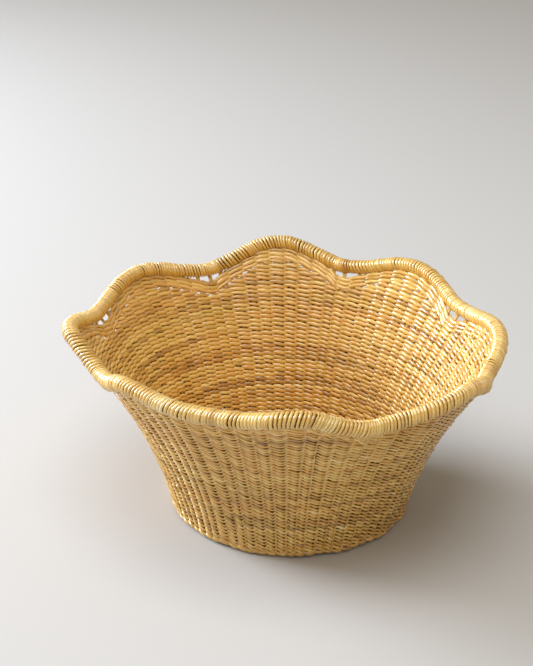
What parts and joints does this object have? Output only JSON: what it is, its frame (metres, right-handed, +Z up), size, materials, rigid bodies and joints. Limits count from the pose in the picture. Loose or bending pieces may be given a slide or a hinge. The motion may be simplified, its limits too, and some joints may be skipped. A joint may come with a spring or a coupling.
{
  "type": "woven basket bowl",
  "caption": "Round twined straw bowl with a flat base, a flaring woven wall and a wavy, petal-like rim bound with straw; holds fruit, bread or small things on a table",
  "frame": {"origin": "on the surface the bowl stands on, under the middle of its base", "axes": "+Z up, +X to the right and +Y away from a viewer in front of the bowl"},
  "size_m": [0.3264, 0.3341, 0.1558],
  "materials": {
    "base_straw": "matt twined straw",
    "heel_straw": "matt twisted straw",
    "stake_straw": "matt straw stem",
    "wall_straw": "matt twined straw with a faint sheen",
    "border_straw": "matt twined straw",
    "core_straw": "matt straw bundle",
    "wrap_straw": "smooth pale straw with a soft sheen"
  },
  "bodies": {
    "root": {"base_start": "base_straw", "base_course_1": "base_straw", "base_course_2": "base_straw", "heel_course": "heel_straw", "stake_01": "stake_straw", "stake_02": "stake_straw", "stake_03": "stake_straw", "stake_04": "stake_straw", "stake_05": "stake_straw", "stake_06": "stake_straw", "stake_07": "stake_straw", "stake_08": "stake_straw", "stake_09": "stake_straw", "stake_10": "stake_straw", "stake_11": "stake_straw", "stake_12": "stake_straw", "stake_13": "stake_straw", "stake_14": "stake_straw", "stake_15": "stake_straw", "stake_16": "stake_straw", "stake_17": "stake_straw", "stake_18": "stake_straw", "stake_19": "stake_straw", "stake_20": "stake_straw", "stake_21": "stake_straw", "stake_22": "stake_straw", "stake_23": "stake_straw", "stake_24": "stake_straw", "stake_25": "stake_straw", "stake_26": "stake_straw", "stake_27": "stake_straw", "stake_28": "stake_straw", "stake_29": "stake_straw", "stake_30": "stake_straw", "stake_31": "stake_straw", "stake_32": "stake_straw", "stake_33": "stake_straw", "stake_34": "stake_straw", "stake_35": "stake_straw", "stake_36": "stake_straw", "stake_37": "stake_straw", "stake_38": "stake_straw", "stake_39": "stake_straw", "stake_40": "stake_straw", "wall_course_1": "wall_straw", "wall_course_2": "wall_straw", "wall_course_3": "wall_straw", "wall_course_4": "wall_straw", "wall_course_5": "wall_straw", "wall_course_6": "wall_straw", "petal_course": "wall_straw", "border_course": "border_straw", "rim_core": "core_straw", "rim_wrap_1": "wrap_straw", "rim_wrap_2": "wrap_straw", "rim_wrap_3": "wrap_straw", "rim_wrap_4": "wrap_straw"}
  },
  "joints": []
}
